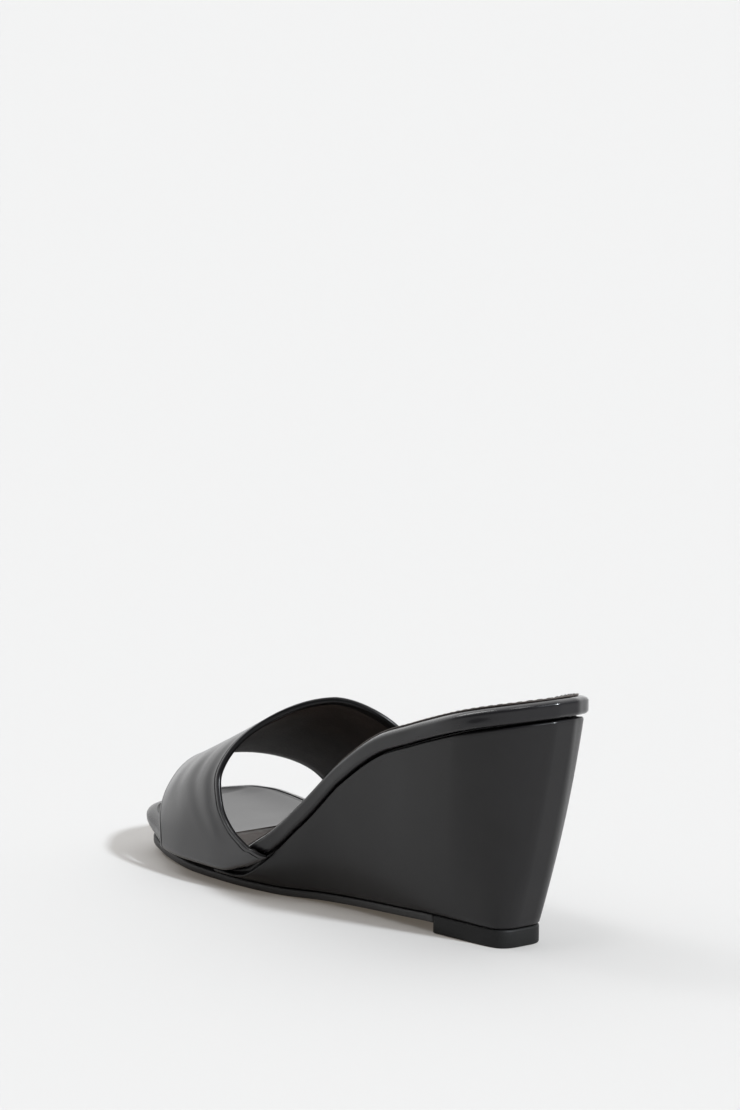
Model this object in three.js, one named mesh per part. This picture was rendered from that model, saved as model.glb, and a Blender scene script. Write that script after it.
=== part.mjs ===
// A left wedge mule: one wide strap over the foot, a thin footbed with a wrapped edge, a tall wedge
// that leans in under the heel, a thin outsole and a heel lift. All sizes are in millimetres.
// The heel is at +X, the toe at -X, the outer (lateral) side at -Y, the inner (medial) side at +Y.

import * as THREE from "three";

// Driving sizes of the footbed
const shoeLength = 229;
const ballWidth = 78;
const footbedThickness = 6.4;
const topEdgeRadius = 2.2;
const bottomEdgeRadius = 1.2;
const dishDepth = 1.2;
const footbedSteps = 46;

// Heights over the floor
const heelRise = 77.7;
const toeSpring = 5;
const ballRoom = 3.9;
const outsoleThickness = 2.8;
const liftHeight = 6.4;

// The underside and the wedge
const undercut = 20.6;
const toeInset = 3.6;
const liftLength = 32.4;
const wedgeTopInset = 1.4;
const wedgeShoulder = 1.6;
const wedgeBulge = 1.6;
const wedgeLevels = 6;
const soleSteps = 34;
const liftSteps = 18;
const soleEdge = 0.5;

// The strap
const strapWall = 2.2;
const marginWall = 1.3;
const marginWidth = 6;
const marginTurn = 2.4;
const instepRoom = 45;
const toeRoom = 21.6;
const strapSag = 1.3;
const strapSteps = 32;
const strapRows = 12;

// The sock
const sockThickness = 0.6;
const sockInset = 1.2;
const sockEndShare = 0.77;
const sockEdge = 0.25;

// The clearance between two pieces that touch, the one between the strap and the footbed's side, how
// far the strap's margins are let in beyond flush, and how far the recess for them runs on past them
const fitGap = 0.4;
const sideGap = 0.8;
const marginLift = 0.25;
const recessRoom = 1;

// Where the wedge ends and the outsole's filler begins, as shares of the shoe's length from heel to
// toe, how far the filler's foot stands in from the outsole's edge, and its top from its foot
const wedgeEndShare = 0.695;
const fillerStartShare = 0.705;
const fillerRampShare = 0.004;
const fillerInset = 5;
const fillerSlant = 1;

// Half widths of the footbed, as shares of the ball width
const footbedPlan = [
  { along: 0, lateral: 0.04, medial: 0.04 },
  { along: 0.006, lateral: 0.096, medial: 0.09 },
  { along: 0.02, lateral: 0.172, medial: 0.158 },
  { along: 0.06, lateral: 0.287, medial: 0.25 },
  { along: 0.13, lateral: 0.363, medial: 0.325 },
  { along: 0.22, lateral: 0.374, medial: 0.347 },
  { along: 0.32, lateral: 0.377, medial: 0.301 },
  { along: 0.42, lateral: 0.378, medial: 0.271 },
  { along: 0.52, lateral: 0.397, medial: 0.304 },
  { along: 0.6, lateral: 0.438, medial: 0.394 },
  { along: 0.68, lateral: 0.467, medial: 0.475 },
  { along: 0.75, lateral: 0.472, medial: 0.513 },
  { along: 0.82, lateral: 0.454, medial: 0.532 },
  { along: 0.88, lateral: 0.397, medial: 0.53 },
  { along: 0.94, lateral: 0.326, medial: 0.508 },
  { along: 0.968, lateral: 0.25, medial: 0.458 },
  { along: 0.986, lateral: 0.1, medial: 0.397 },
  { along: 0.995, lateral: -0.01, medial: 0.31 },
  { along: 1, lateral: -0.11, medial: 0.21 },
];

// Half widths of the underside, as shares of the ball width, and along its own length
const basePlan = [
  { along: 0, lateral: 0.045, medial: 0.03 },
  { along: 0.0054, lateral: 0.108, medial: 0.082 },
  { along: 0.0166, lateral: 0.137, medial: 0.108 },
  { along: 0.036, lateral: 0.153, medial: 0.128 },
  { along: 0.1, lateral: 0.177, medial: 0.163 },
  { along: 0.163, lateral: 0.197, medial: 0.187 },
  { along: 0.29, lateral: 0.222, medial: 0.196 },
  { along: 0.363, lateral: 0.238, medial: 0.192 },
  { along: 0.434, lateral: 0.268, medial: 0.2 },
  { along: 0.495, lateral: 0.314, medial: 0.237 },
  { along: 0.549, lateral: 0.349, medial: 0.295 },
  { along: 0.602, lateral: 0.376, medial: 0.359 },
  { along: 0.661, lateral: 0.392, medial: 0.41 },
  { along: 0.719, lateral: 0.397, medial: 0.446 },
  { along: 0.783, lateral: 0.395, medial: 0.467 },
  { along: 0.85, lateral: 0.375, medial: 0.47 },
  { along: 0.9, lateral: 0.342, medial: 0.466 },
  { along: 0.94, lateral: 0.302, medial: 0.448 },
  { along: 0.968, lateral: 0.24, medial: 0.41 },
  { along: 0.988, lateral: 0.12, medial: 0.345 },
  { along: 1, lateral: -0.1, medial: 0.2 },
];

// Heights along the shoe: rise is a share of heelRise, spring of toeSpring, and waist of the step
// up from the floor that the outsole makes where it meets the heel lift
const profile = [
  { along: 0, rise: 1, waist: 1, spring: 0 },
  { along: 0.1, rise: 0.931, waist: 1, spring: 0 },
  { along: 0.2, rise: 0.84, waist: 1, spring: 0 },
  { along: 0.235, rise: 0.804, waist: 1, spring: 0 },
  { along: 0.3, rise: 0.736, waist: 0.82, spring: 0 },
  { along: 0.4, rise: 0.558, waist: 0.52, spring: 0 },
  { along: 0.5, rise: 0.305, waist: 0.22, spring: 0 },
  { along: 0.58, rise: 0.115, waist: 0, spring: 0 },
  { along: 0.66, rise: 0, waist: 0, spring: 0 },
  { along: 0.76, rise: 0, waist: 0, spring: 0 },
  { along: 0.83, rise: 0, waist: 0, spring: 0.2 },
  { along: 0.9, rise: 0, waist: 0, spring: 0.5 },
  { along: 1, rise: 0, waist: 0, spring: 1 },
];

// The share of the wedge's height at which its side ends in the shoulder under the footbed
const wedgeRim = [
  { along: 0, rim: 0.98 },
  { along: 0.4, rim: 0.975 },
  { along: 0.52, rim: 0.95 },
  { along: 0.575, rim: 0.84 },
  { along: 0.63, rim: 0.5 },
  { along: 0.68, rim: 0.2 },
  { along: 0.7, rim: 0.15 },
];

// The strap's two edges over the foot, from the lateral side (turn 0) to the medial side (turn 1),
// as shares of the shoe's length
const strapEdges = [
  { turn: 0, rear: 0.584, front: 0.818 },
  { turn: 0.04, rear: 0.605, front: 0.826 },
  { turn: 0.078, rear: 0.631, front: 0.8375 },
  { turn: 0.13, rear: 0.668, front: 0.851 },
  { turn: 0.194, rear: 0.6915, front: 0.866 },
  { turn: 0.5, rear: 0.555, front: 0.912 },
  { turn: 0.806, rear: 0.477, front: 0.842 },
  { turn: 0.922, rear: 0.477, front: 0.823 },
  { turn: 1, rear: 0.477, front: 0.823 },
];

// How square the strap's arch is at its rear and front edge (2 is round), and how far its crown
// lies to the medial side of the middle, as a share of the ball width
const strapSquareness = { rear: 1.75, front: 2.46 };
const strapLean = { rear: -0.023, front: 0.044 };

const lerp = THREE.MathUtils.lerp;
const clamp = THREE.MathUtils.clamp;

// A smooth curve through a table's rows that never overshoots them
function curveThrough(xs, ys) {
  const steps = xs.slice(1).map((x, i) => x - xs[i]);
  const slopes = steps.map((step, i) => (ys[i + 1] - ys[i]) / step);
  const tangents = ys.map((unused, i) => {
    if (i === 0) return slopes[0];
    if (i === ys.length - 1) return slopes[i - 1];
    const before = slopes[i - 1];
    const after = slopes[i];
    if (before * after <= 0) return 0;
    const weightBefore = 2 * steps[i] + steps[i - 1];
    const weightAfter = steps[i] + 2 * steps[i - 1];
    return (weightBefore + weightAfter) / (weightBefore / before + weightAfter / after);
  });
  return (x) => {
    const at = clamp(x, xs[0], xs[xs.length - 1]);
    let i = 0;
    while (i < steps.length - 1 && at > xs[i + 1]) i++;
    const t = (at - xs[i]) / steps[i];
    const rest = 1 - t;
    return ys[i] * (1 + 2 * t) * rest * rest + steps[i] * tangents[i] * t * rest * rest
      + ys[i + 1] * t * t * (3 - 2 * t) - steps[i] * tangents[i + 1] * t * t * rest;
  };
}

// Outlines are drawn over an angle instead of a length, so that both ends come out round
const roundAlong = (share) => Math.acos(1 - 2 * clamp(share, 0, 1)) / Math.PI;
const shareOfRound = (round) => (1 - Math.cos(Math.PI * round)) / 2;

function column(table, key, name, place = (share) => share) {
  return curveThrough(table.map((row) => place(row[key])), table.map((row) => row[name]));
}

function plan(table) {
  const lateral = column(table, "along", "lateral", roundAlong);
  const medial = column(table, "along", "medial", roundAlong);
  return (side, share) => ballWidth * (side < 0 ? lateral : medial)(roundAlong(share));
}

const footbedHalf = plan(footbedPlan);
const baseHalf = plan(basePlan);
const baseLength = shoeLength - undercut - toeInset;
const shareOfBase = (share) => (share * shoeLength - undercut) / baseLength;

// Heights over the floor at a share of the shoe's length
const riseAt = column(profile, "along", "rise");
const waistAt = column(profile, "along", "waist");
const springAt = column(profile, "along", "spring");
const rimAt = column(wedgeRim, "along", "rim");
const ballTop = outsoleThickness + ballRoom + footbedThickness;
const treadAt = (share) => (liftHeight - outsoleThickness) * waistAt(share) + toeSpring * springAt(share);
const soleTopAt = (share) => treadAt(share) + outsoleThickness;
const topAt = (share) => ballTop + heelRise * riseAt(share) + toeSpring * springAt(share);

// A thickness is measured square to the footbed, so it counts for more where the footbed is steep
function steepness(share) {
  const step = 0.004;
  const slope = (topAt(share - step) - topAt(share + step)) / (2 * step * shoeLength);
  return Math.hypot(1, slope);
}

const under = (share, depth) => topAt(share) - depth * steepness(share);
const undersideAt = (share) => under(share, footbedThickness);
const wedgeTopAt = (share) => under(share, footbedThickness + fitGap);

// Stations along an outline, close together at a round end
function roundStations(from, to, count) {
  const start = roundAlong(from);
  const end = roundAlong(to);
  return Array.from({ length: count + 1 }, (unused, i) => shareOfRound(lerp(start, end, i / count)));
}

// A closed outline with as many points on the lateral side, heel to toe, as back on the medial side
function outline(stations, half, xAt = (share) => -share * shoeLength) {
  const lateral = stations.map((share) => new THREE.Vector2(xAt(share), -half(-1, share)));
  const medial = stations.map((share) => new THREE.Vector2(xAt(share), half(1, share)));
  return [...lateral, ...medial.reverse()];
}

// The same outline drawn inwards, by one distance or by a distance for each of its points
function inset(points, distance) {
  const count = points.length;
  return points.map((point, i) => {
    const before = points[(i + count - 1) % count];
    const after = points[(i + 1) % count];
    const one = new THREE.Vector2(point.y - before.y, before.x - point.x).normalize();
    const two = new THREE.Vector2(after.y - point.y, point.x - after.x).normalize();
    const by = typeof distance === "function" ? distance(point, i) : distance;
    const corner = Math.max(1 + one.dot(two), 0.3);
    return point.clone().addScaledVector(one.add(two), by / corner);
  });
}

const shareAt = (point) => clamp(-point.x / shoeLength, 0, 1);
const raise = (points, height) => points.map((p, i) => new THREE.Vector3(p.x, p.y, height(p, i)));

// A mesh from points and triangles, turned so that its faces point out
function solid(name, points, triangles, material) {
  let volume = 0;
  for (const [a, b, c] of triangles) volume += points[a].dot(points[b].clone().cross(points[c]));
  const faces = volume < 0 ? triangles.map(([a, b, c]) => [a, c, b]) : triangles;
  const geometry = new THREE.BufferGeometry();
  const positions = points.flatMap((point) => [point.x, point.y, point.z]);
  geometry.setAttribute("position", new THREE.Float32BufferAttribute(positions, 3));
  geometry.setIndex(faces.flat());
  geometry.computeVertexNormals();
  const mesh = new THREE.Mesh(geometry, material);
  mesh.name = name;
  return mesh;
}

// The shares of a rung, from the lateral to the medial side, at which a dished end is crossed
const crossings = [0.1, 0.3, 0.5, 0.7, 0.9];

// A solid through closed outlines. Each end is closed by rungs between its two long sides, and a
// dish takes the middle of the rungs down.
function stack(name, rings, material, dish = { bottom: 0, top: 0 }) {
  const count = rings[0].length;
  const points = rings.flat();
  const triangles = [];
  const quad = (a, b, c, d) => triangles.push([a, b, c], [a, c, d]);
  for (let level = 0; level + 1 < rings.length; level++) {
    for (let i = 0; i < count; i++) {
      const next = (i + 1) % count;
      const low = level * count;
      const high = low + count;
      quad(low + i, low + next, high + next, high + i);
    }
  }
  const zip = (near, far, faces) => {
    const add = (a, b, c) => triangles.push(faces > 0 ? [a, b, c] : [a, c, b]);
    let a = 0;
    let b = 0;
    while (a + 1 < near.length || b + 1 < far.length) {
      if ((a + 1) / (near.length - 1) <= (b + 1) / (far.length - 1)) add(near[a], far[b], near[++a]);
      else add(near[a], far[b], far[++b]);
    }
  };
  const close = (start, depth, faces) => {
    const rung = (i) => {
      const one = start + i;
      const other = start + count - 1 - i;
      if (depth === 0 || i === 0 || i === count / 2 - 1) return [one, other];
      const width = points[one].distanceTo(points[other]);
      const sink = depth * Math.min(1, (2 * width) / ballWidth);
      const between = crossings.map((across) => {
        const point = points[one].clone().lerp(points[other], across);
        point.z -= sink * (1 - (2 * across - 1) ** 4);
        return points.push(point) - 1;
      });
      return [one, ...between, other];
    };
    const rungs = Array.from({ length: count / 2 }, (unused, i) => rung(i));
    for (let i = 0; i + 1 < rungs.length; i++) zip(rungs[i], rungs[i + 1], faces);
  };
  close(0, dish.bottom, -1);
  close((rings.length - 1) * count, dish.top, 1);
  return solid(name, points, triangles, material);
}

// Which points of an outline lie under the strap's turned-in margins, as 0 or 1
const strapRear = column(strapEdges, "turn", "rear");
const strapFront = column(strapEdges, "turn", "front");
const marginRoom = (strapWall / 2 + fitGap) / shoeLength;
const marginRamp = recessRoom / shoeLength;

function marginSpan(side) {
  const turn = side < 0 ? 0 : 1;
  return { from: strapRear(turn) - marginRoom, to: strapFront(turn) + marginRoom };
}

function underMargin(point, share) {
  const span = marginSpan(point.y < 0 ? -1 : 1);
  return share >= span.from && share <= span.to ? 1 : 0;
}

const smoothLeather = new THREE.MeshStandardMaterial({ color: 0x1c1b1d, roughness: 0.38, metalness: 0 });
const wedgeLeather = new THREE.MeshStandardMaterial({ color: 0x1e1d1f, roughness: 0.42, metalness: 0 });
const sockLeather = new THREE.MeshStandardMaterial({ color: 0x4e4742, roughness: 0.55, metalness: 0 });
const soleRubber = new THREE.MeshStandardMaterial({ color: 0x141414, roughness: 0.75, metalness: 0 });

// The stations that the footbed, the sock and the wedge share, so that their faces lie parallel
const marginSpans = [marginSpan(-1), marginSpan(1)];
const footbedStations = [
  ...roundStations(0, 1, footbedSteps),
  ...marginSpans.flatMap(({ from, to }) => [from - marginRamp, from, to, to + marginRamp]),
].sort((a, b) => a - b).filter((share, i, all) => i === 0 || share - all[i - 1] > marginRamp / 4);
const stationsUpTo = (end) => [...footbedStations.filter((share) => share < end - marginRamp), end];

// Footbed: a slab of even thickness with a rounded edge, dished on top, and cut back underneath
// along both sides where the strap's margins are let in
function makeFootbed() {
  const edge = outline(footbedStations, footbedHalf);
  const recess = marginWall + fitGap + marginLift;
  const recessWidth = marginWidth + 2 * fitGap + recessRoom;
  const recessSlant = 0.5;
  const shares = edge.map(shareAt);
  const low = (by, height, cut) => raise(inset(edge, by), (p, i) => {
    const depth = footbedThickness - height - cut * recess * underMargin(edge[i], shares[i]);
    return under(shareAt(p), depth);
  });
  const high = (by, depth) => raise(inset(edge, by), (p) => under(shareAt(p), depth));
  return stack("footbed", [
    low(recessWidth + recessSlant, 0, 0),
    low(recessWidth, 0, 1),
    low(bottomEdgeRadius, 0, 1),
    low(bottomEdgeRadius * 0.3, bottomEdgeRadius * 0.3, 1),
    low(0, bottomEdgeRadius, 1),
    high(0, topEdgeRadius),
    high(topEdgeRadius * 0.3, topEdgeRadius * 0.3),
    high(topEdgeRadius, 0),
  ], smoothLeather, { bottom: 0, top: dishDepth });
}

// Sock: a thin lining on the footbed, from the heel to the ball
function makeSock() {
  const edge = outline(stationsUpTo(sockEndShare), footbedHalf);
  const level = (by, height) => raise(inset(edge, topEdgeRadius + sockInset + by), (p) => {
    return under(shareAt(p), -fitGap - height);
  });
  return stack("sock", [
    level(sockEdge, 0),
    level(0, sockEdge),
    level(sockEdge, sockThickness),
  ], sockLeather, { bottom: dishDepth, top: dishDepth });
}

// Outsole: from the heel lift to the toe, with a raised filler under the forefoot of the footbed
function makeOutsole() {
  const start = (undercut + liftLength + fitGap) / shoeLength;
  const stations = [...roundStations(start, (shoeLength - toeInset) / shoeLength, soleSteps),
    fillerStartShare, fillerStartShare + fillerRampShare].sort((a, b) => a - b);
  const half = (side, share) => baseHalf(side, shareOfBase(share));
  const edge = outline(stations, half);
  const filler = (share) => undersideAt(share) - fitGap - soleTopAt(share);
  const onFiller = (share) => (share > fillerStartShare + fillerRampShare / 2 ? filler(share) : 0);
  const level = (by, height) => raise(inset(edge, by), (p, i) => {
    const share = shareAt(edge[i]);
    return treadAt(shareAt(p)) + height(share);
  });
  return stack("outsole", [
    level(soleEdge, () => 0),
    level(0, () => soleEdge),
    level(0, () => outsoleThickness - soleEdge),
    level(soleEdge, () => outsoleThickness),
    level(fillerInset, () => outsoleThickness),
    level(fillerInset + fillerSlant, (share) => outsoleThickness + onFiller(share)),
  ], soleRubber);
}

// Heel lift: a straight-fronted plate under the back of the wedge
function makeHeelLift() {
  const to = (undercut + liftLength) / shoeLength;
  const from = undercut / shoeLength;
  const runs = roundStations(0, 0.5, liftSteps).map((run) => lerp(from, to, run * 2));
  const edge = outline(runs, (side, share) => baseHalf(side, shareOfBase(share)));
  const level = (by, height) => raise(inset(edge, by), () => height);
  return stack("heel_lift", [
    level(soleEdge, 0),
    level(0, soleEdge),
    level(0, liftHeight - soleEdge),
    level(soleEdge, liftHeight),
  ], soleRubber);
}

// Wedge: skinned from the narrow underside out to the footbed, and stepped in just below it
function makeWedge() {
  const stations = stationsUpTo(wedgeEndShare);
  const upper = inset(outline(stations, footbedHalf), wedgeTopInset);
  const toBase = (share) => {
    const back = undercut / shoeLength;
    return lerp(back, wedgeEndShare, share / wedgeEndShare);
  };
  const lower = outline(stations, (side, share) => baseHalf(side, shareOfBase(toBase(share))),
    (share) => -toBase(share) * shoeLength);
  const bottomAt = (p) => soleTopAt(shareAt(p)) + fitGap;
  const outward = inset(upper, -1).map((p, i) => p.sub(upper[i]).normalize());
  const side = (share) => upper.map((up, i) => {
    const t = share * rimAt(shareAt(up));
    const low = lower[i];
    const swell = wedgeBulge * 4 * t * (1 - t);
    const height = lerp(bottomAt(low), wedgeTopAt(shareAt(up)), t);
    const flat = low.clone().lerp(up, t).addScaledVector(outward[i], swell);
    return new THREE.Vector3(flat.x, flat.y, height);
  });
  const shoulder = raise(inset(upper, wedgeShoulder), (p) => wedgeTopAt(shareAt(p)));
  const sides = Array.from({ length: wedgeLevels + 1 }, (unused, i) => side(i / wedgeLevels));
  return stack("wedge", [...sides, shoulder], wedgeLeather);
}

// Strap: one wall that comes out from under the footbed's lateral edge, arches over the foot and
// goes back under the medial edge
function makeStrap() {
  const crownAt = (v) => {
    const rear = strapRear(0.5);
    const front = strapFront(0.5);
    return lerp(topAt(rear) + instepRoom, topAt(front) + toeRoom, v) - strapSag * 4 * v * (1 - v);
  };
  const outHalf = (side, share) => footbedHalf(side, share) + sideGap + strapWall;
  const arch = (turn, v) => {
    const share = lerp(strapRear(turn), strapFront(turn), v);
    const across = Math.cos(Math.PI * turn);
    const up = Math.sin(Math.PI * turn);
    const side = across > 0 ? -1 : 1;
    const power = 2 / lerp(strapSquareness.rear, strapSquareness.front, v);
    const base = undersideAt(share) + footbedThickness / 2;
    const lean = ballWidth * lerp(strapLean.rear, strapLean.front, v) * up;
    const y = side * outHalf(side, share) * Math.abs(across) ** power + lean;
    return new THREE.Vector3(-share * shoeLength, y, lerp(base, crownAt(v), up ** power));
  };
  // In the margin, angle turns the wall from upright (0) to flat (90 degrees) and then runs inwards
  const margin = (side, angle, run, v) => {
    const turn = side < 0 ? 0 : 1;
    const share = lerp(strapRear(turn), strapFront(turn), v);
    const inwards = marginTurn * (1 - Math.cos(angle)) + run * marginWidth;
    const height = marginTurn * (1 - Math.sin(angle));
    const y = side * (outHalf(side, share) - inwards);
    return new THREE.Vector3(-share * shoeLength, y, under(share, footbedThickness - marginLift - height));
  };
  const turnIn = [
    { angle: Math.PI / 2, run: 1 },
    { angle: Math.PI / 2, run: 0.5 },
    { angle: Math.PI / 2, run: 0 },
    { angle: Math.PI / 3, run: 0 },
    { angle: Math.PI / 6, run: 0 },
    { angle: 0, run: 0 },
  ];
  const girth = [
    ...turnIn.map(({ angle, run }) => ({
      wall: lerp(strapWall, marginWall, angle / (Math.PI / 2)),
      at: (v) => margin(-1, angle, run, v),
    })),
    ...Array.from({ length: strapSteps + 1 }, (unused, i) => ({
      wall: strapWall,
      at: (v) => arch(i / strapSteps, v),
    })),
    ...turnIn.reverse().map(({ angle, run }) => ({
      wall: lerp(strapWall, marginWall, angle / (Math.PI / 2)),
      at: (v) => margin(1, angle, run, v),
    })),
  ];
  const rows = Array.from({ length: strapRows + 1 }, (unused, j) => j / strapRows);
  const outer = girth.map((station) => rows.map((v) => station.at(v)));
  const tangent = (list, i) => {
    const ahead = list[Math.min(i + 1, list.length - 1)];
    return ahead.clone().sub(list[Math.max(i - 1, 0)]).normalize();
  };
  const inner = outer.map((line, i) => line.map((point, j) => {
    const around = tangent(outer.map((other) => other[j]), i);
    const forward = tangent(line, j);
    return point.clone().addScaledVector(forward.cross(around).normalize(), girth[i].wall);
  }));
  // The cut edges are a little rounded: their middle stands out by a third of the wall
  const lip = (i, j, beyond) => {
    const forward = outer[i][j].clone().sub(outer[i][beyond]).normalize();
    return outer[i][j].clone().lerp(inner[i][j], 0.5).addScaledVector(forward, girth[i].wall / 3);
  };
  const count = rows.length;
  const points = [
    ...outer.flat(), ...inner.flat(),
    ...outer.map((line, i) => lip(i, 0, 1)),
    ...outer.map((line, i) => lip(i, count - 1, count - 2)),
  ];
  const out = (i, j) => i * count + j;
  const inn = (i, j) => (girth.length + i) * count + j;
  const rearLip = (i) => 2 * girth.length * count + i;
  const frontLip = (i) => rearLip(i) + girth.length;
  const triangles = [];
  const quad = (a, b, c, d) => triangles.push([a, b, c], [a, c, d]);
  for (let i = 0; i + 1 < girth.length; i++) {
    for (let j = 0; j + 1 < count; j++) {
      quad(out(i, j), out(i, j + 1), out(i + 1, j + 1), out(i + 1, j));
      quad(inn(i, j), inn(i + 1, j), inn(i + 1, j + 1), inn(i, j + 1));
    }
    quad(out(i, 0), out(i + 1, 0), rearLip(i + 1), rearLip(i));
    quad(rearLip(i), rearLip(i + 1), inn(i + 1, 0), inn(i, 0));
    quad(out(i, count - 1), frontLip(i), frontLip(i + 1), out(i + 1, count - 1));
    quad(frontLip(i), inn(i, count - 1), inn(i + 1, count - 1), frontLip(i + 1));
  }
  const close = (i, flip) => {
    const add = (a, b, c) => triangles.push(flip ? [a, c, b] : [a, b, c]);
    for (let j = 0; j + 1 < count; j++) {
      add(out(i, j), inn(i, j), inn(i, j + 1));
      add(out(i, j), inn(i, j + 1), out(i, j + 1));
    }
    add(out(i, 0), rearLip(i), inn(i, 0));
    add(out(i, count - 1), inn(i, count - 1), frontLip(i));
  };
  close(0, false);
  close(girth.length - 1, true);
  return solid("upper_strap", points, triangles, smoothLeather);
}

const shoe = new THREE.Group();
shoe.add(makeOutsole(), makeHeelLift(), makeWedge(), makeFootbed(), makeSock(), makeStrap());

// The origin is the middle of the shoe's plan, on the floor
const extent = new THREE.Box3().setFromObject(shoe);
const middle = extent.getCenter(new THREE.Vector3());
shoe.position.set(-middle.x, -middle.y, -extent.min.z);

export default shoe;
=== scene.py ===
# Left wedge mule in smooth black leather, dressed over its solids.
# Sizes are in millimetres until a mesh is made. Heel at +X, toe at -X, outer side at -Y, up is +Z.
import math

import bpy
import numpy as np
from mathutils import Matrix, Vector


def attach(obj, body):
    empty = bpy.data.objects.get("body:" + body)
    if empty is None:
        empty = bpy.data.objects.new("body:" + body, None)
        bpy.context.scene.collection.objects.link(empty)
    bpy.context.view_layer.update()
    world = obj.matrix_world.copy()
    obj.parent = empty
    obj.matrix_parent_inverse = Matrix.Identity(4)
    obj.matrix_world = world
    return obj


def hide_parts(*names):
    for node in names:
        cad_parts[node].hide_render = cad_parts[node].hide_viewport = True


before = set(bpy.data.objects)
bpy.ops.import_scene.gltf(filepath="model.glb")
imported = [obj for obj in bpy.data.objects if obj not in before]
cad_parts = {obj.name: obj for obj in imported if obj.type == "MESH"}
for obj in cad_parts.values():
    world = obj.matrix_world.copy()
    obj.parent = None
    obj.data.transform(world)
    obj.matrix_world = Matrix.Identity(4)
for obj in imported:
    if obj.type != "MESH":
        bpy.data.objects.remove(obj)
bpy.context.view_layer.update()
scene = bpy.context.scene
print("frame loaded:", sorted(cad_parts))


def hexColour(code):  # an sRGB hex code as linear values
    parts = [int(code[i:i + 2], 16) / 255 for i in (1, 3, 5)]
    return tuple(c / 12.92 if c <= 0.04045 else ((c + 0.055) / 1.055) ** 2.4 for c in parts) + (1.0,)


def addNode(tree, kind, settings=None, links=None):
    node = tree.nodes.new(kind)
    for name, value in (settings or {}).items():
        if isinstance(name, int) or name in node.inputs:
            node.inputs[name].default_value = value
        else:
            setattr(node, name, value)
    for name, socket in (links or {}).items():
        tree.links.new(socket, node.inputs[name])
    return node


def curveThrough(xs, ys):  # a smooth curve that never overshoots its points
    xs, ys = np.array(xs, float), np.array(ys, float)
    step = np.diff(xs)
    slope = np.diff(ys) / step
    tangent = np.concatenate([slope[:1], np.zeros(len(xs) - 2), slope[-1:]])
    for i in range(1, len(xs) - 1):
        a, b = slope[i - 1], slope[i]
        if a * b > 0:
            wa, wb = 2 * step[i] + step[i - 1], step[i] + 2 * step[i - 1]
            tangent[i] = (wa + wb) / (wa / a + wb / b)

    def at(x):
        x = np.clip(np.asarray(x, float), xs[0], xs[-1])
        i = np.clip(np.searchsorted(xs, x, side="left") - 1, 0, len(step) - 1)
        t = (x - xs[i]) / step[i]
        r = 1 - t
        return (ys[i] * (1 + 2 * t) * r * r + step[i] * tangent[i] * t * r * r
                + ys[i + 1] * t * t * (3 - 2 * t) - step[i] * tangent[i + 1] * t * t * r)
    return at


def smooth(low, high, x):
    t = np.clip((np.asarray(x, float) - low) / (high - low), 0, 1)
    return t * t * (3 - 2 * t)


def bell(x, middle, width):
    return np.exp(-((np.asarray(x, float) - middle) / width) ** 2)


# the last gives the shoe its shape, by the same tables as the solids
last = {
    "length": 229, "ballWidth": 78, "thickness": 6.4, "heelRise": 77.7, "toeSpring": 5,
    "outsole": 2.8, "ballRoom": 3.9, "liftHeight": 6.4, "undercut": 20.6, "toeInset": 3.6,
    "shift": (114.5, -2.4266),  # from the heel's back to the middle of the plan
    "fitGap": 0.4,
    # share of the length from heel to toe, then the half widths as shares of the ball width
    "footbedPlan": [
        (0, 0.04, 0.04), (0.006, 0.096, 0.09), (0.02, 0.172, 0.158), (0.06, 0.287, 0.25),
        (0.13, 0.363, 0.325), (0.22, 0.374, 0.347), (0.32, 0.377, 0.301), (0.42, 0.378, 0.271),
        (0.52, 0.397, 0.304), (0.6, 0.438, 0.394), (0.68, 0.467, 0.475), (0.75, 0.472, 0.513),
        (0.82, 0.454, 0.532), (0.88, 0.397, 0.53), (0.94, 0.326, 0.508), (0.968, 0.25, 0.458),
        (0.986, 0.1, 0.397), (0.995, -0.01, 0.31), (1, -0.11, 0.21)],
    "basePlan": [
        (0, 0.045, 0.03), (0.0054, 0.108, 0.082), (0.0166, 0.137, 0.108), (0.036, 0.153, 0.128),
        (0.1, 0.177, 0.163), (0.163, 0.197, 0.187), (0.29, 0.222, 0.196), (0.363, 0.238, 0.192),
        (0.434, 0.268, 0.2), (0.495, 0.314, 0.237), (0.549, 0.349, 0.295), (0.602, 0.376, 0.359),
        (0.661, 0.392, 0.41), (0.719, 0.397, 0.446), (0.783, 0.395, 0.467), (0.85, 0.375, 0.47),
        (0.9, 0.342, 0.466), (0.94, 0.302, 0.448), (0.968, 0.24, 0.41), (0.988, 0.12, 0.345),
        (1, -0.1, 0.2)],
    # share of the length, share of the heel's rise, share of the waist's step, share of the toe spring
    "profile": [
        (0, 1, 1, 0), (0.1, 0.931, 1, 0), (0.2, 0.84, 1, 0), (0.235, 0.804, 1, 0),
        (0.3, 0.736, 0.82, 0), (0.4, 0.558, 0.52, 0), (0.5, 0.305, 0.22, 0), (0.58, 0.115, 0, 0),
        (0.66, 0, 0, 0), (0.76, 0, 0, 0), (0.83, 0, 0, 0.2), (0.9, 0, 0, 0.5), (1, 0, 0, 1)],
}
length, ballWidth, thickness = last["length"], last["ballWidth"], last["thickness"]


def roundAlong(share):
    return np.arccos(1 - 2 * np.clip(share, 0, 1)) / np.pi


def planHalf(table):
    along = roundAlong(np.array([row[0] for row in table]))
    lateral = curveThrough(along, [row[1] for row in table])
    medial = curveThrough(along, [row[2] for row in table])
    return lambda side, share: ballWidth * (lateral if side < 0 else medial)(roundAlong(share))


footbedHalf, baseHalf = planHalf(last["footbedPlan"]), planHalf(last["basePlan"])
riseAt, waistAt, springAt = (curveThrough([r[0] for r in last["profile"]], [r[k] for r in last["profile"]])
                             for k in (1, 2, 3))
baseLength = length - last["undercut"] - last["toeInset"]


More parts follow.
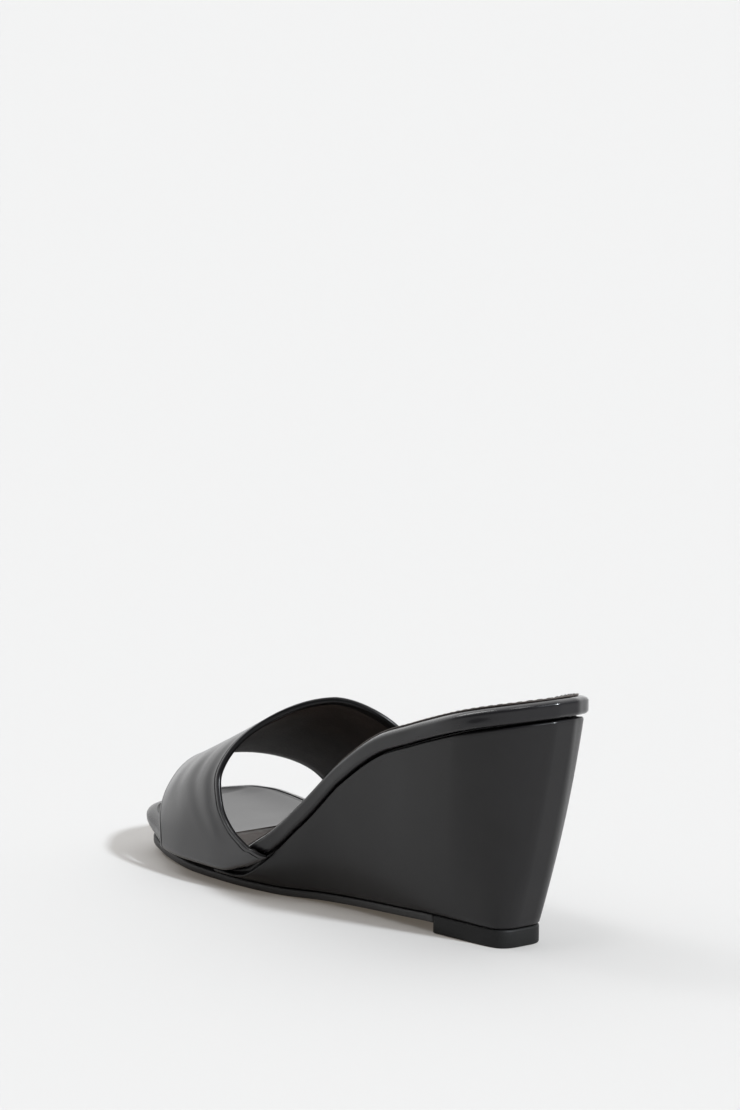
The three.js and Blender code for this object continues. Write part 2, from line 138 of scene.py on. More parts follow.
def shareOfBase(share):
    return (share * length - last["undercut"]) / baseLength


def treadAt(share):
    return (last["liftHeight"] - last["outsole"]) * waistAt(share) + last["toeSpring"] * springAt(share)


def topAt(share):
    ball = last["outsole"] + last["ballRoom"] + thickness
    return ball + last["heelRise"] * riseAt(share) + last["toeSpring"] * springAt(share)


def under(share, depth):  # a height so far below the footbed's top, square to it
    d = 0.004
    slope = (topAt(share - d) - topAt(share + d)) / (2 * d * length)
    return topAt(share) - depth * np.hypot(1, slope)


def roundStations(start, end, count):
    return (1 - np.cos(np.pi * np.linspace(roundAlong(start), roundAlong(end), count + 1))) / 2


def outline(stations, half, xs=None):
    xs = -stations * length if xs is None else xs
    lateral = np.stack([xs, -half(-1, stations)], 1)
    medial = np.stack([xs, half(1, stations)], 1)[::-1]
    return np.concatenate([lateral, medial])


def inset(points, distance):
    before, after = np.roll(points, 1, 0), np.roll(points, -1, 0)
    one = np.stack([points[:, 1] - before[:, 1], before[:, 0] - points[:, 0]], 1)
    two = np.stack([after[:, 1] - points[:, 1], points[:, 0] - after[:, 0]], 1)
    one /= np.linalg.norm(one, axis=1)[:, None]
    two /= np.linalg.norm(two, axis=1)[:, None]
    corner = np.maximum(1 + (one * two).sum(1), 0.3)
    return points + (one + two) * (np.asarray(distance, float) / corner)[..., None]


def shareAt(points):
    return np.clip(-points[:, 0] / length, 0, 1)


def raised(points, heights):
    return np.column_stack([points, heights])


def quarter(count):  # angles of a rounded edge
    return np.linspace(0, np.pi / 2, count)


def makePiece(name, points, faces, materials, faceMaterial=None):
    mesh = bpy.data.meshes.new(name)
    moved = (np.asarray(points, float) + (last["shift"][0], last["shift"][1], 0)) / 1000
    mesh.from_pydata(moved.tolist(), [], [list(map(int, f)) for f in faces])
    for material in materials:
        mesh.materials.append(material)
    if faceMaterial is not None:
        mesh.polygons.foreach_set("material_index", np.asarray(faceMaterial, np.int32))
    mesh.polygons.foreach_set("use_smooth", [True] * len(mesh.polygons))
    mesh.validate()
    mesh.update()
    piece = bpy.data.objects.new(name, mesh)
    scene.collection.objects.link(piece)
    return piece


def signedVolume(points, faces):
    total = 0.0
    for f in faces:
        for k in range(1, len(f) - 1):
            total += np.dot(points[f[0]], np.cross(points[f[k]], points[f[k + 1]]))
    return total / 6


def loftRings(rings, rowsAcross, sinkBottom=None, sinkTop=None):
    # a closed body through outlines, each end filled by rows from the outer to the inner side
    count = len(rings[0])
    points = [np.concatenate(rings)]
    used = len(points[0])
    faces = []
    i = np.arange(count)
    j = (i + 1) % count
    for level in range(len(rings) - 1):
        low, high = level * count, (level + 1) * count
        faces += list(np.stack([low + i, low + j, high + j, high + i], 1))
    for ring, sink, turn in ((0, sinkBottom, -1), (len(rings) - 1, sinkTop, 1)):
        half = count // 2
        one = ring * count + np.arange(half)
        other = ring * count + count - 1 - np.arange(half)
        across = np.linspace(0, 1, rowsAcross + 1)[1:-1]
        a, b = rings[ring][:half], rings[ring][::-1][:half]
        inner = a[:, None] + (b - a)[:, None] * across[None, :, None]
        if sink is not None:
            inner[..., 2] -= sink(a, b, across)
        ids = used + np.arange(half * len(across)).reshape(half, -1)
        points.append(inner.reshape(-1, 3))
        used += inner.shape[0] * inner.shape[1]
        grid = np.column_stack([one, ids, other])
        quads = np.stack([grid[:-1, :-1], grid[:-1, 1:], grid[1:, 1:], grid[1:, :-1]], -1).reshape(-1, 4)
        faces += list(quads if turn > 0 else quads[:, ::-1])
    points = np.concatenate(points)
    if signedVolume(points, faces) < 0:
        faces = [f[::-1] for f in faces]
    return points, faces


def finishPiece(piece, node):
    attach(piece, "root")
    if node:
        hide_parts(node)
    return piece


# solved from the shoe's outline in the photo, in mm, with the roll in degrees
view = {"target": (11.81, -8.38, 127.05), "place": (1041.9, -811.6, 327.7), "roll": 0.466, "lens": 120}


def makeCamera():
    place, target = Vector(view["place"]) / 1000, Vector(view["target"]) / 1000
    ahead = (target - place).normalized()
    right = ahead.cross(Vector((0, 0, 1))).normalized()
    up = right.cross(ahead)
    c, s = math.cos(math.radians(view["roll"])), math.sin(math.radians(view["roll"]))
    right, up = right * c + up * s, up * c - right * s
    data = bpy.data.cameras.new("camera")
    data.lens, data.sensor_width, data.sensor_fit = view["lens"], 36, "AUTO"
    data.clip_start, data.clip_end = 0.05, 400
    camera = bpy.data.objects.new("camera", data)
    camera.matrix_world = Matrix((
        (right.x, up.x, -ahead.x, place.x), (right.y, up.y, -ahead.y, place.y),
        (right.z, up.z, -ahead.z, place.z), (0, 0, 0, 1)))
    scene.collection.objects.link(camera)
    scene.camera = camera


makeCamera()
print("camera placed")


def newMaterial(name):
    material = bpy.data.materials.new(name)
    material.use_nodes = True
    tree = material.node_tree
    tree.nodes.clear()
    output = addNode(tree, "ShaderNodeOutputMaterial")
    shader = addNode(tree, "ShaderNodeBsdfPrincipled")
    tree.links.new(shader.outputs["BSDF"], output.inputs["Surface"])
    return material, tree, shader


def addNoise(tree, spot, sizeMm, detail, rough=0.5):
    return addNode(tree, "ShaderNodeTexNoise", {"Scale": 1000 / sizeMm, "Detail": detail, "Roughness": rough},
                   {"Vector": spot})


def addBump(tree, height, deepMm, normal=None):
    links = {"Height": height, "Normal": normal} if normal else {"Height": height}
    bump = addNode(tree, "ShaderNodeBump", {"Strength": 1.0, "Distance": deepMm / 1000}, links)
    return bump.outputs["Normal"]


def addDye(tree, shader, noise, look, low, high):
    # two close tones mixed by a noise, since neither hide nor rubber has one even tone
    tone = addNode(tree, "ShaderNodeValToRGB", links={"Fac": noise.outputs["Fac"]})
    darker, lighter = tone.color_ramp.elements
    darker.position, lighter.position = low, high
    darker.color, lighter.color = hexColour(look["dark"]), hexColour(look["light"])
    tree.links.new(tone.outputs["Color"], shader.inputs["Base Color"])


facingUp = (0.5, 0.95)  # from a steep slope to lying flat, by the height of the normal


def smoothLeather(name, look):
    # dyed calf, plated smooth: cloudy dark dye, faint pores and slow waves under a thin finish
    material, tree, shader = newMaterial(name)
    spot = addNode(tree, "ShaderNodeTexCoord").outputs["Object"]
    addDye(tree, shader, addNoise(tree, spot, look["cloudMm"], 3.0), look, 0.3, 0.7)
    pores = addNode(tree, "ShaderNodeTexVoronoi", {"Scale": 1000 / look["poreMm"], "Randomness": 1.0},
                    {"Vector": spot})
    fine = addNoise(tree, spot, look["fineMm"], 4.0, 0.6)
    rough = addNode(tree, "ShaderNodeMapRange", {
        "From Min": 0.3, "From Max": 0.7, "To Min": look["rough"][0], "To Max": look["rough"][1]},
        {"Value": fine.outputs["Fac"]})
    tree.links.new(rough.outputs["Result"], shader.inputs["Roughness"])
    waves = addNoise(tree, spot, look["waveMm"], 2.0)
    waveNormal = addBump(tree, waves.outputs["Fac"], look["waveDeep"])
    poreNormal = addBump(tree, pores.outputs["Distance"], look["poreDeep"], waveNormal)
    tree.links.new(addBump(tree, fine.outputs["Fac"], look["fineDeep"], poreNormal), shader.inputs["Normal"])
    shader.inputs["IOR"].default_value = 1.5
    shader.inputs["Specular IOR Level"].default_value = look["spec"]
    shader.inputs["Coat Weight"].default_value = look["coat"]
    shader.inputs["Coat Roughness"].default_value = look["coatRough"]
    if "flatSpec" in look:  # the foot has polished it where it lies flat
        normal = addNode(tree, "ShaderNodeNewGeometry").outputs["Normal"]
        facing = addNode(tree, "ShaderNodeSeparateXYZ", links={"Vector": normal}).outputs["Z"]
        span = {"From Min": facingUp[0], "From Max": facingUp[1]}
        gloss = addNode(tree, "ShaderNodeMapRange", {**span, "To Min": look["spec"], "To Max": look["flatSpec"]},
                        {"Value": facing})
        polish = addNode(tree, "ShaderNodeMapRange", {**span, "To Max": look["flatPolish"]}, {"Value": facing})
        less = addNode(tree, "ShaderNodeMath", {"operation": "SUBTRACT"},
                       {0: rough.outputs["Result"], 1: polish.outputs["Result"]})
        tree.links.new(less.outputs["Value"], shader.inputs["Roughness"])
        tree.links.new(gloss.outputs["Result"], shader.inputs["Specular IOR Level"])
    return material


def moulded(name, look):
    # a plain pressed or spun surface: nearly matt, with a fine even grain that breaks up its sheen
    material, tree, shader = newMaterial(name)
    spot = addNode(tree, "ShaderNodeTexCoord").outputs["Object"]
    grain = addNoise(tree, spot, look["grainMm"], 5.0)
    addDye(tree, shader, grain, look, 0.35, 0.75)
    tree.links.new(addBump(tree, grain.outputs["Fac"], look["grainDeep"]), shader.inputs["Normal"])
    shader.inputs["Roughness"].default_value = look["rough"]
    shader.inputs["Specular IOR Level"].default_value = look["spec"]
    shader.inputs["IOR"].default_value = 1.52
    return material


# polished calf with a clear finish: soft broad highlights that show the creases
strapLeather = smoothLeather("strapCalf", {
    "dark": "#171618", "light": "#1d1c1e", "cloudMm": 22, "poreMm": 0.75, "poreDeep": 0.006,
    "fineMm": 0.9, "fineDeep": 0.006, "waveMm": 30, "waveDeep": 0.12,
    "rough": (0.29, 0.36), "spec": 0.55, "coat": 0.5, "coatRough": 0.22})
# the same hide pulled tight: dark and smooth on the edge, glossier where it lies flat under the foot
wrapLeather = smoothLeather("footbedWrapCalf", {
    "dark": "#141315", "light": "#1a191b", "cloudMm": 25, "poreMm": 0.75, "poreDeep": 0.005,
    "fineMm": 0.9, "fineDeep": 0.004, "waveMm": 30, "waveDeep": 0.1,
    "rough": (0.27, 0.33), "spec": 0.28, "coat": 0.25, "coatRough": 0.1, "flatSpec": 0.7, "flatPolish": 0.08})
# satin calf over the block: an even, quiet surface with wide soft shading
wedgeLeather = smoothLeather("wedgeCoverCalf", {
    "dark": "#151415", "light": "#1b1a1b", "cloudMm": 30, "poreMm": 0.8, "poreDeep": 0.006,
    "fineMm": 0.9, "fineDeep": 0.006, "waveMm": 34, "waveDeep": 0.15,
    "rough": (0.34, 0.42), "spec": 0.26, "coat": 0.15, "coatRough": 0.12})
# unfinished lining: warm, matt and clearly pored, so the inside reads softer than the outside
liningLeather = smoothLeather("pigskinLining", {
    "dark": "#29221e", "light": "#352c27", "cloudMm": 12, "poreMm": 1.1, "poreDeep": 0.05,
    "fineMm": 0.7, "fineDeep": 0.05, "waveMm": 20, "waveDeep": 0.2,
    "rough": (0.55, 0.68), "spec": 0.3, "coat": 0.0, "coatRough": 0.3})
# soft goatskin: paler and a little pebbled, with the dull sheen of a surface that feet rub
sockLeather = smoothLeather("sockGoatskin", {
    "dark": "#443d39", "light": "#57504b", "cloudMm": 9, "poreMm": 1.0, "poreDeep": 0.05,
    "fineMm": 1.2, "fineDeep": 0.08, "waveMm": 16, "waveDeep": 0.25,
    "rough": (0.52, 0.64), "spec": 0.36, "coat": 0.0, "coatRough": 0.3})
# skived calf turned over the strap's edges, darker than the strap: partly the edge's own dark tone, partly
# painted shade where the rim turns away from the light
shadedTurnedEdge = smoothLeather("shadedTurnedEdgeCalf", {
    "dark": "#0b0a0b", "light": "#100f10", "cloudMm": 20, "poreMm": 0.75, "poreDeep": 0.005,
    "fineMm": 0.9, "fineDeep": 0.006, "waveMm": 20, "waveDeep": 0.05,
    "rough": (0.3, 0.36), "spec": 0.25, "coat": 0.0, "coatRough": 0.2})
# rubber in a lighter grey than the lift's: painted light, as the outsole sits in shade
soleRubberPaintedLight = moulded("pressedRubberPaintedLight", {
    "dark": "#232222", "light": "#2d2c2b", "grainMm": 0.8, "grainDeep": 0.05, "rough": 0.55, "spec": 0.5})
# a darker copy of the same rubber: painted shade, holding back the sun that falls on the lift
liftRubberPaintedShade = moulded("heelLiftRubberPaintedShade", {
    "dark": "#0f0f0f", "light": "#161616", "grainMm": 0.8, "grainDeep": 0.05, "rough": 0.58, "spec": 0.3})
# thread drawn through wax, with a faint shine on each stitch
thread = moulded("waxedThread", {
    "dark": "#0e0d0d", "light": "#1c1a1a", "grainMm": 0.5, "grainDeep": 0.04, "rough": 0.5, "spec": 0.5})
print("materials made")


# the footbed is a slab wrapped in leather, with a rolled edge
footbed = {"steps": 260, "rollWide": 4.2, "rollHigh": 2.3, "bottomRadius": 1.2, "dish": 1.2, "rows": 24,
           "bottomRings": 9, "wallRings": (0.2, 0.4, 0.6, 0.8), "rollRings": 13,
           "recessWidth": 7.8, "recessDeep": 1.95, "recessSlant": 0.5,
           # soft dents in the lateral rand: share of the length, half width and depth in mm (a rise below 0)
           "dents": [(0.085, 7, 0.35), (0.145, 8, -0.4), (0.205, 9, 0.3), (0.3, 12, -0.2), (0.39, 11, 0.18)],
           # between these shares of the length the edge grows rounder, up to this height and radius
           "toeFrom": 0.84, "toeTo": 0.95, "toeHigh": 2.8, "toeRadius": 3.4,
           # by side, the shares of the length between which the recess for the strap deepens and ends
           "margins": {-1: (0.567, 0.5805, 0.8155, 0.8168), 1: (0.478, 0.4795, 0.8205, 0.822)}}


def marginCut(points, shares):  # where the strap's margins are let in underneath
    cut = np.zeros(len(points))
    for side, (start, full, fading, end) in footbed["margins"].items():
        on = (points[:, 1] < 0) if side < 0 else (points[:, 1] >= 0)
        deep = np.clip((shares - start) / (full - start), 0, 1) * np.clip((end - shares) / (end - fading), 0, 1)
        cut = np.where(on, deep, cut)
    return cut


def dishSink(depth):
    def sink(a, b, across):
        width = np.linalg.norm(a - b, axis=1)
        deep = depth * np.minimum(1, 2 * width / ballWidth)
        return deep[:, None] * (1 - (2 * across[None, :] - 1) ** 4) ** 2
    return sink


def makeFootbed():
    edge = outline(roundStations(0, 1, footbed["steps"]), footbedHalf)
    shares = shareAt(edge)
    cut = marginCut(edge, shares) * footbed["recessDeep"]
    toe = smooth(footbed["toeFrom"], footbed["toeTo"], shares)
    low = footbed["bottomRadius"] + (footbed["toeRadius"] - footbed["bottomRadius"]) * toe
    high = footbed["rollHigh"] + (footbed["toeHigh"] - footbed["rollHigh"]) * toe
    wide = footbed["rollWide"]

    dented = sum(deep * bell(shares * length, at * length, spread) for at, spread, deep in footbed["dents"])
    dented = np.where(edge[:, 1] < 0, dented, 0)

    def ring(by, depth, bite=0.0):
        flat = inset(edge, by + bite * dented)
        return raised(flat, under(shareAt(flat), depth))

    recess = footbed["recessWidth"]
    rings = [ring(recess + footbed["recessSlant"], thickness), ring(recess, thickness - cut)]
    for a in quarter(footbed["bottomRings"]):
        rings.append(ring(low * (1 - np.sin(a)), thickness - cut - low * (1 - np.cos(a))))
    for t in footbed["wallRings"]:
        depth = (thickness - cut - low) * (1 - t) + high * t
        rings.append(ring(0, depth, smooth(0, 1, t)))
    for a in quarter(footbed["rollRings"]):
        rings.append(ring(wide * (1 - np.cos(a)), high * (1 - np.sin(a)), np.cos(a)))
    points, faces = loftRings(rings, footbed["rows"], None, dishSink(footbed["dish"]))
    return finishPiece(makePiece("footbedWrap", points, faces, [wrapLeather]), "footbed")


makeFootbed()
print("footbed made")


# the sock is a thin lining from the heel to the ball, stitched round its edge
sock = {"end": 0.77, "inset": 3.4, "thick": 0.5, "edge": 0.25, "lift": 0.12, "steps": 230, "rows": 26,
        "footHigh": 0.1, "edgeRings": 5,
        "stitchInset": 1.3, "stitchLong": 2.3, "stitchStep": 3.4, "stitchThick": 0.32,
        "stitchSizes": (0.9, 1.08), "stitchSeed": 3,
        # the row stops short of the front edge by a share of the length, and by a few points at each end
        "stitchStop": 0.006, "stitchPoints": 600, "stitchTrim": 4}


def makeSock():
    edge = outline(roundStations(0, sock["end"], sock["steps"]), footbedHalf)

    def ring(by, height):
        flat = inset(edge, sock["inset"] + by)
        return raised(flat, under(shareAt(flat), -sock["lift"] - height))

    rings = [ring(sock["edge"], 0), ring(0, sock["footHigh"])]
    for a in quarter(sock["edgeRings"]):
        rings.append(ring(sock["edge"] * (1 - np.cos(a)), sock["thick"] - sock["edge"] * (1 - np.sin(a))))
    sink = dishSink(footbed["dish"])
    points, faces = loftRings(rings, sock["rows"], sink, sink)
    return finishPiece(makePiece("sockLining", points, faces, [sockLeather]), "sock")


makeSock()
print("sock made")


def stitchTree():
    # small rounded stitches set along a line by Geometry Nodes
    tree = bpy.data.node_groups.new("stitchRow", "GeometryNodeTree")
    face = tree.interface
    face.new_socket("Line", in_out="INPUT", socket_type="NodeSocketGeometry")
    for name, kind in (("Step", "NodeSocketFloat"), ("Long", "NodeSocketFloat"), ("Thick", "NodeSocketFloat"),
                       ("Seed", "NodeSocketInt"), ("Thread", "NodeSocketMaterial")):
        face.new_socket(name, in_out="INPUT", socket_type=kind)
    face.new_socket("Stitches", in_out="OUTPUT", socket_type="NodeSocketGeometry")
    start = addNode(tree, "NodeGroupInput")
    curve = addNode(tree, "GeometryNodeMeshToCurve", links={"Mesh": start.outputs["Line"]})
    spaced = addNode(tree, "GeometryNodeResampleCurve", {"mode": "LENGTH"},
                     {"Curve": curve.outputs["Curve"], "Length": start.outputs["Step"]})
    tangent = addNode(tree, "GeometryNodeInputTangent")
    turn = addNode(tree, "FunctionNodeAlignRotationToVector", {"axis": "X"},
                   {"Vector": tangent.outputs["Tangent"]})
    wobble = addNode(tree, "FunctionNodeRandomValue", {"data_type": "FLOAT"}, {"Seed": start.outputs["Seed"]})
    wobble.inputs[2].default_value, wobble.inputs[3].default_value = sock["stitchSizes"]
    size = addNode(tree, "ShaderNodeCombineXYZ", links={
        "X": start.outputs["Long"], "Y": start.outputs["Thick"], "Z": start.outputs["Thick"]})
    ball = addNode(tree, "GeometryNodeMeshIcoSphere", {"Radius": 0.5, "Subdivisions": 2})
    grain = addNode(tree, "GeometryNodeTransform", links={
        "Geometry": ball.outputs["Mesh"], "Scale": size.outputs["Vector"]})
    row = addNode(tree, "GeometryNodeInstanceOnPoints", links={
        "Points": spaced.outputs["Curve"], "Instance": grain.outputs["Geometry"],
        "Rotation": turn.outputs["Rotation"], "Scale": wobble.outputs[1]})
    real = addNode(tree, "GeometryNodeRealizeInstances", links={"Geometry": row.outputs["Instances"]})
    soft = addNode(tree, "GeometryNodeSetShadeSmooth", links={"Geometry": real.outputs["Geometry"]})
    dyed = addNode(tree, "GeometryNodeSetMaterial", links={
        "Geometry": soft.outputs["Geometry"], "Material": start.outputs["Thread"]})
    end = addNode(tree, "NodeGroupOutput")
    tree.links.new(dyed.outputs["Geometry"], end.inputs["Stitches"])
    return tree


def stitchRow(name, line, sizes, seed):
    mesh = bpy.data.meshes.new(name)
    moved = (np.asarray(line) + (last["shift"][0], last["shift"][1], 0)) / 1000
    mesh.from_pydata(moved.tolist(), [(i, i + 1) for i in range(len(moved) - 1)], [])
    carrier = bpy.data.objects.new(name, mesh)
    scene.collection.objects.link(carrier)
    modifier = carrier.modifiers.new("stitches", "NODES")
    modifier.node_group = stitches
    for item in stitches.interface.items_tree:
        value = {"Step": sizes[0] / 1000, "Long": sizes[1] / 1000, "Thick": sizes[2] / 1000, "Seed": seed,
                 "Thread": thread}.get(item.name)
        if item.item_type == "SOCKET" and item.in_out == "INPUT" and value is not None:
            modifier[item.identifier] = value
    depsgraph = bpy.context.evaluated_depsgraph_get()
    made = bpy.data.meshes.new_from_object(carrier.evaluated_get(depsgraph))
    carrier.modifiers.clear()
    carrier.data = made
    return finishPiece(carrier, None)


stitches = stitchTree()


def sockStitchLine():
    count, trim = sock["stitchPoints"], sock["stitchTrim"]
    edge = outline(roundStations(0, sock["end"] - sock["stitchStop"], count), footbedHalf)
    by = sock["inset"] + sock["stitchInset"]
    flat = np.roll(inset(edge, by), count + 1, 0)[trim:-trim]  # from the ball back round the heel to the ball
    return raised(flat, under(shareAt(flat), -sock["lift"] - sock["thick"]))


stitchRow("sockStitches", sockStitchLine(), (sock["stitchStep"], sock["stitchLong"], sock["stitchThick"]),
          sock["stitchSeed"])
print("stitches made")


# the outsole with a filler up to the footbed under the forefoot, and the heel lift
sole = {"steps": 240, "edge": 0.6, "edgeRings": 4, "rows": 16,
        "fillerStart": 0.705, "fillerRamp": 0.004, "fillerInset": 5, "fillerSlant": 1,
        "liftLength": 32.4, "liftSteps": 60, "liftRows": 12}


def slabRings(ring, thick):  # from below to above, with both edges rounded
    r, angles = sole["edge"], quarter(sole["edgeRings"])
    return ([ring(r * (1 - np.sin(a)), r * (1 - np.cos(a))) for a in angles]
            + [ring(r * (1 - np.cos(a)), thick - r * (1 - np.sin(a))) for a in angles])


def makeOutsole():
    start = (last["undercut"] + sole["liftLength"] + last["fitGap"]) / length
    stations = roundStations(start, (length - last["toeInset"]) / length, sole["steps"])
    stations = np.sort(np.append(stations, [sole["fillerStart"], sole["fillerStart"] + sole["fillerRamp"]]))
    edge = outline(stations, lambda side, share: baseHalf(side, shareOfBase(share)))
    own = shareAt(edge)
    thick = last["outsole"]

    def ring(by, height):
        flat = inset(edge, by)
        return raised(flat, treadAt(shareAt(flat)) + height)

    filler = np.where(own > sole["fillerStart"] + sole["fillerRamp"] / 2,
                      under(own, thickness) - last["fitGap"] - treadAt(own) - thick, 0)
    rings = slabRings(ring, thick)
    rings += [ring(sole["fillerInset"], thick), ring(sole["fillerInset"] + sole["fillerSlant"], thick + filler)]
    points, faces = loftRings(rings, sole["rows"])
    return finishPiece(makePiece("outsoleRubber", points, faces, [soleRubberPaintedLight]), "outsole")


def makeLift():
    start, end = last["undercut"] / length, (last["undercut"] + sole["liftLength"]) / length
    runs = 1 - np.cos(np.pi * np.linspace(0, 0.5, sole["liftSteps"] + 1))
    stations = start + (end - start) * runs
    edge = outline(stations, lambda side, share: baseHalf(side, shareOfBase(share)))

    def ring(by, height):
        return raised(inset(edge, by), np.full(len(edge), height))

    points, faces = loftRings(slabRings(ring, last["liftHeight"]), sole["liftRows"])
    return finishPiece(makePiece("heelLiftRubberPaintedShade", points, faces, [liftRubberPaintedShade]), "heel_lift")


makeOutsole()
makeLift()
print("soles made")


# the wedge is a block with leather pulled over it
wedge = {"end": 0.695, "topInset": 1.4, "bulge": 1.6, "steps": 240, "rows": 16,
         # share of the height and how far the cover is drawn in there, then the even levels above
         "footRings": [(0, 0.7), (0.004, 0.2)], "firstLevel": 0.01, "levels": 40,
         # the cover's top edge: how far inwards and how far up, in mm, and a last step inwards
         "turnIn": [(0.08, 0.3), (0.25, 0.55), (0.5, 0.7), (0.9, 0.78), (2.4, 0.85)], "lastStep": 0.3,
         # share of the length, and how much of the height the cover's visible side has there
         "rim": [(0, 0.98), (0.4, 0.975), (0.52, 0.945), (0.552, 0.87), (0.578, 0.7), (0.604, 0.52),
                 (0.62, 0.42), (0.635, 0.44), (0.66, 0.6), (0.7, 0.7)]}


def makeWedge():
    stations = roundStations(0, 1, 2 * wedge["steps"])
    stations = np.append(stations[stations < wedge["end"] - 0.001], wedge["end"])
    upper = inset(outline(stations, footbedHalf), wedge["topInset"])
    back = last["undercut"] / length
    base = back + (wedge["end"] - back) * stations / wedge["end"]
    lower = np.concatenate([
        np.stack([-base * length, -baseHalf(-1, shareOfBase(base))], 1),
        np.stack([-base * length, baseHalf(1, shareOfBase(base))], 1)[::-1]])
    outward = inset(upper, -1) - upper
    outward /= np.linalg.norm(outward, axis=1)[:, None]
    rimAt = curveThrough([r[0] for r in wedge["rim"]], [r[1] for r in wedge["rim"]])
    topShare = shareAt(upper)
    floor = treadAt(shareAt(lower)) + last["outsole"] + last["fitGap"]
    ceiling = under(topShare, thickness + last["fitGap"])

    def side(share, drawnIn=0.0):
        t = share * rimAt(topShare)
        out = wedge["bulge"] * 4 * t * (1 - t) - drawnIn
        flat = lower + (upper - lower) * t[:, None] + outward * out[:, None]
        return raised(flat, floor + (ceiling - floor) * t)

    rings = [side(share, drawnIn) for share, drawnIn in wedge["footRings"]]
    rings += [side(share) for share in np.linspace(wedge["firstLevel"], 1, wedge["levels"])]
    rim = rings[-1]
    room = ceiling - rim[:, 2]
    lastIn, lastRise = wedge["turnIn"][-1]
    for inwards, rise in wedge["turnIn"]:  # it rolls over the top edge and runs in under the groove
        flat = inset(rim[:, :2], inwards)
        rings.append(raised(flat, rim[:, 2] + np.minimum(rise, room * rise / lastRise)))
    rings.append(raised(inset(rim[:, :2], lastIn + wedge["lastStep"]), ceiling))
    points, faces = loftRings(rings, wedge["rows"])
    return finishPiece(makePiece("wedgeCover", points, faces, [wedgeLeather]), "wedge")


makeWedge()
print("wedge made")


# the strap has leather outside, lining inside, and the soft creases of leather that bends
strap = {
    "wall": 2.2, "marginWall": 1.3, "marginWidth": 6, "marginTurn": 2.4, "marginLift": 0.25, "sideGap": 0.8,
    "instepRoom": 45, "toeRoom": 21.6, "sag": 1.3, "steps": 240, "rows": 56, "turnRings": 9,
    # at the rear and the front edge: how square the arch is, and how far it leans over as a share of the width
    "squareness": (1.75, 2.46), "lean": (-0.023, 0.044),
    # turn over the foot, rear edge, front edge, as shares of the length
    "edges": [(0, 0.584, 0.818), (0.04, 0.605, 0.826), (0.078, 0.631, 0.8375), (0.13, 0.668, 0.851),
              (0.194, 0.6915, 0.866), (0.5, 0.555, 0.912), (0.806, 0.477, 0.842), (0.922, 0.477, 0.823),
              (1, 0.477, 0.823)],
    # how far in the darker turned edge, partly painted shade, runs on the lining side; then the lining's step
    # and fade
    "shadedTurnedEdge": 3.0, "liningStep": 0.35, "liningFade": 0.6,
    "footStep": 0.3,  # the arch ends this far above the margin's turn, or the wall would fold back
    # the rim's profile: share of the wall from the outside in, and how far it stands out, in walls
    "rim": [(0.03, 0.12), (0.08, 0.2), (0.15, 0.28), (0.24, 0.35), (0.35, 0.4), (0.46, 0.42), (0.58, 0.41),
            (0.7, 0.36), (0.8, 0.29), (0.9, 0.19), (0.97, 0.09)],
    "rimLit": 0.2,  # as far as this share the rim has the strap's own finish; beyond it the rim takes the darker turned edge, painted shade
    # the fold line of the turned edge: distance from the edge, depth, width
    "fold": (1.15, 0.26, 0.2),
    "edgeRows": [0, 0.15, 0.35, 0.6, 0.8, 0.92, 1.02, 1.1, 1.18, 1.26, 1.36, 1.5, 1.75, 2.1, 2.7, 3.5],
    # the lateral margin's rear corner runs on into the groove over the wedge: by what share of the
    # length, with what part of it at the start of the turn, and how many mm it hangs between two shares
    "tuck": 0.026, "tuckStart": 0.2, "droop": (0.575, 0.625, 2.2),
    # a crease wanders by this share of the strap, this fast over the turn, each out of step with the next
    "drift": (0.05, 9, 20),
    # beside each trough runs a ridge: its height as a share of the depth, its distance in widths
    "ridge": (0.6, 1.7),
    "calmEnds": 0.08, "calmEdges": 0.06,  # no creases within these shares of the ends and the edges
    # across the strap from rear to front, from and to along its turn, depth, width in mm
    "creases": [(0.13, 0.02, 0.34, 0.24, 2.2), (0.29, 0.02, 0.38, 0.28, 2.7), (0.45, 0.06, 0.42, 0.24, 3.2),
                (0.62, 0.08, 0.36, 0.18, 3.4), (0.2, 0.3, 0.6, 0.2, 3), (0.24, 0.6, 0.95, 0.26, 3.4),
                (0.42, 0.58, 0.9, 0.22, 3.6)],
}
rearAt = curveThrough([r[0] for r in strap["edges"]], [r[1] for r in strap["edges"]])
frontAt = curveThrough([r[0] for r in strap["edges"]], [r[2] for r in strap["edges"]])


def archPoint(turn, v):
    share = rearAt(turn) * (1 - v) + frontAt(turn) * v
    across, up = np.cos(np.pi * turn), np.sin(np.pi * turn)
    side = np.where(across > 0, -1, 1)
    power = 2 / (strap["squareness"][0] * (1 - v) + strap["squareness"][1] * v)
    turnStart = under(share, thickness - strap["marginLift"] - strap["marginTurn"])
    foot = np.maximum(under(share, thickness) + thickness / 2, turnStart + strap["footStep"])
    lean = ballWidth * (strap["lean"][0] * (1 - v) + strap["lean"][1] * v) * up
    out = np.where(across > 0, footbedHalf(-1, share), footbedHalf(1, share)) + strap["sideGap"] + strap["wall"]
    rearTop = topAt(rearAt(0.5)) + strap["instepRoom"]
    frontTop = topAt(frontAt(0.5)) + strap["toeRoom"]
    crown = rearTop * (1 - v) + frontTop * v - strap["sag"] * 4 * v * (1 - v)
    up = np.maximum(up, 0)
    y = side * out * np.abs(across) ** power + lean
    return np.stack([-share * length, y, foot + (crown - foot) * up ** power], -1)


